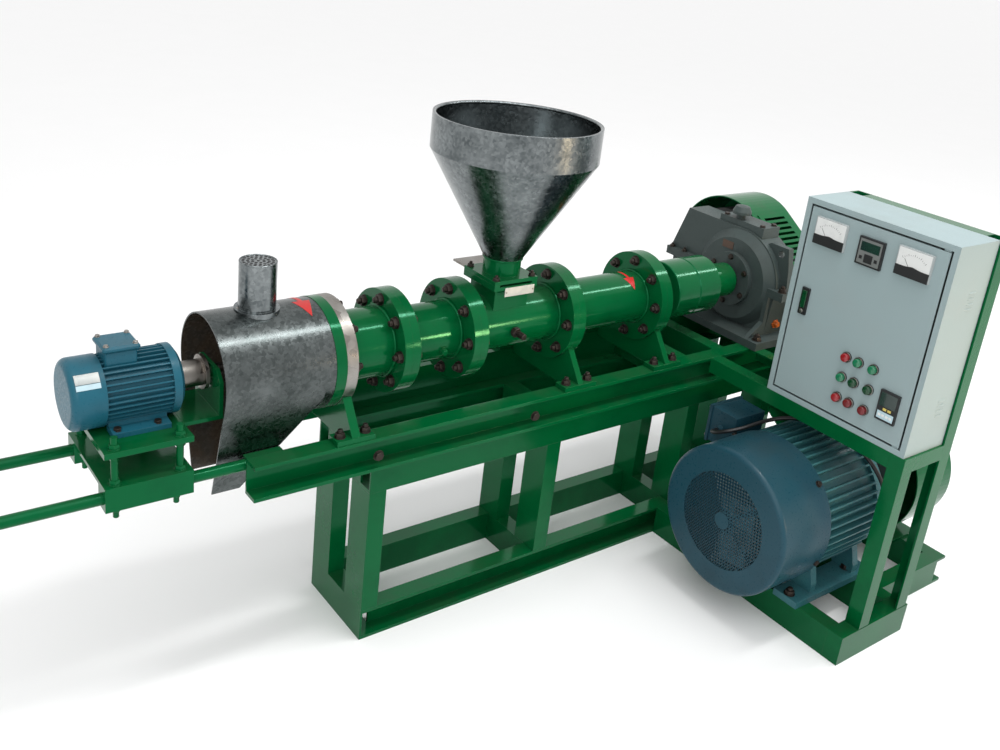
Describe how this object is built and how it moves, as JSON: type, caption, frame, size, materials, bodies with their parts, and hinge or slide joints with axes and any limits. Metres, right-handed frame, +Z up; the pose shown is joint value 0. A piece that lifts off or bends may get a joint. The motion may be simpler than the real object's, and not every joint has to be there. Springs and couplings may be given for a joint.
{
  "type": "fish feed extruder",
  "caption": "Single-screw fish feed extruder on a channel-steel frame with hopper, discharge hood, face cutter on guide rods, belt-driven gearbox and control cabinet.",
  "frame": {"origin": "on the floor, in the middle of the machine's footprint", "axes": "+X along the barrel from the cutter end to the gearbox, +Y away from the motor and cabinet, +Z up"},
  "size_m": [2.415, 1.118, 1.195],
  "materials": {
    "green_paint": "glossy machine enamel over hot-rolled steel, a little dusty",
    "galvanized_sheet": "spangled galvanized sheet",
    "bare_steel": "machined steel, lightly tarnished",
    "cast_grey": "painted casting, satin",
    "belt_rubber": "matt belt rubber",
    "cable_rubber": "smooth black cable sheath",
    "motor_blue": "satin enamel on cast aluminium and iron",
    "cutter_blue": "satin enamel on cast aluminium",
    "cabinet_grey": "fine textured powder coat",
    "plate_zinc": "zinc-plated mounting plate",
    "meter_glass": "clear front over white scales",
    "black_plastic": "moulded black plastic",
    "button_plastic": "coloured lens plastic"
  },
  "bodies": {
    "machine": {"base_rails": "green_paint", "frame_cross_channels": "green_paint", "frame_posts": "green_paint", "frame_top_rails": "green_paint", "bed_channels": "green_paint", "bed_ties": "green_paint", "guide_rods": "green_paint", "rod_saddles": "green_paint", "feed_pedestal": "green_paint", "bearing_pedestal": "green_paint", "die_bracket": "green_paint", "motor_base_beams": "green_paint", "motor_base_end_channel": "green_paint", "guard_floor_beam": "green_paint", "hood_ring": "green_paint", "barrel_front": "green_paint", "barrel_middle": "green_paint", "feed_barrel": "green_paint", "bearing_housing": "green_paint", "end_cover": "green_paint", "hopper_neck": "green_paint", "belt_guard": "green_paint", "guard_window": "green_paint", "stand_legs": "green_paint", "stand_shelf": "green_paint", "stand_top_bar": "green_paint", "hood_shell": "galvanized_sheet", "hood_vent": "galvanized_sheet", "hopper": "galvanized_sheet", "die_holder": "bare_steel", "die_plate": "bare_steel", "gearbox_lower": "cast_grey", "gearbox_upper": "cast_grey", "gearbox_cover": "cast_grey", "drive_pulleys": "cast_grey", "drive_belts": "belt_rubber", "motor_cable": "cable_rubber", "motor_cowl": "motor_blue", "motor_body": "motor_blue", "motor_terminal_box": "motor_blue", "cabinet_box": "cabinet_grey", "cabinet_plate": "plate_zinc"},
    "door": {"cabinet_door": "cabinet_grey", "panel_meters": "meter_glass", "panel_controllers": "black_plastic", "door_lock": "black_plastic", "panel_buttons": "button_plastic"},
    "carriage": {"carriage_base": "green_paint", "carriage_studs": "green_paint", "motor_plate": "green_paint", "knife_bracket": "green_paint", "cutter_motor": "cutter_blue", "cutter_cowl": "cutter_blue", "cutter_terminal_box": "cutter_blue"},
    "cutter": {"cutter_shaft": "bare_steel", "knives": "bare_steel"},
    "drive": {"extruder_screw": "bare_steel", "shaft_coupling": "green_paint"},
    "gate": {"feed_gate": "bare_steel"}
  },
  "joints": [
    {"name": "door_hinge", "type": "hinge", "parent": "machine", "child": "door", "pos_m": [0.6775, -0.523, 0.8], "axis": [0, 0, 1], "range_deg": [0, 95]},
    {"name": "carriage_slide", "type": "slide", "parent": "machine", "child": "carriage", "axis": [-1, 0, 0], "range_m": [0, 0.24]},
    {"name": "cutter_spin", "type": "hinge", "parent": "carriage", "child": "cutter", "pos_m": [-0.6075, 0.198, 0.704], "axis": [1, 0, 0], "continuous": true},
    {"name": "screw_spin", "type": "hinge", "parent": "machine", "child": "drive", "pos_m": [0.3425, 0.198, 0.704], "axis": [1, 0, 0], "continuous": true},
    {"name": "gate_slide", "type": "slide", "parent": "machine", "child": "gate", "axis": [0, -1, 0], "range_m": [0, 0.066]}
  ]
}
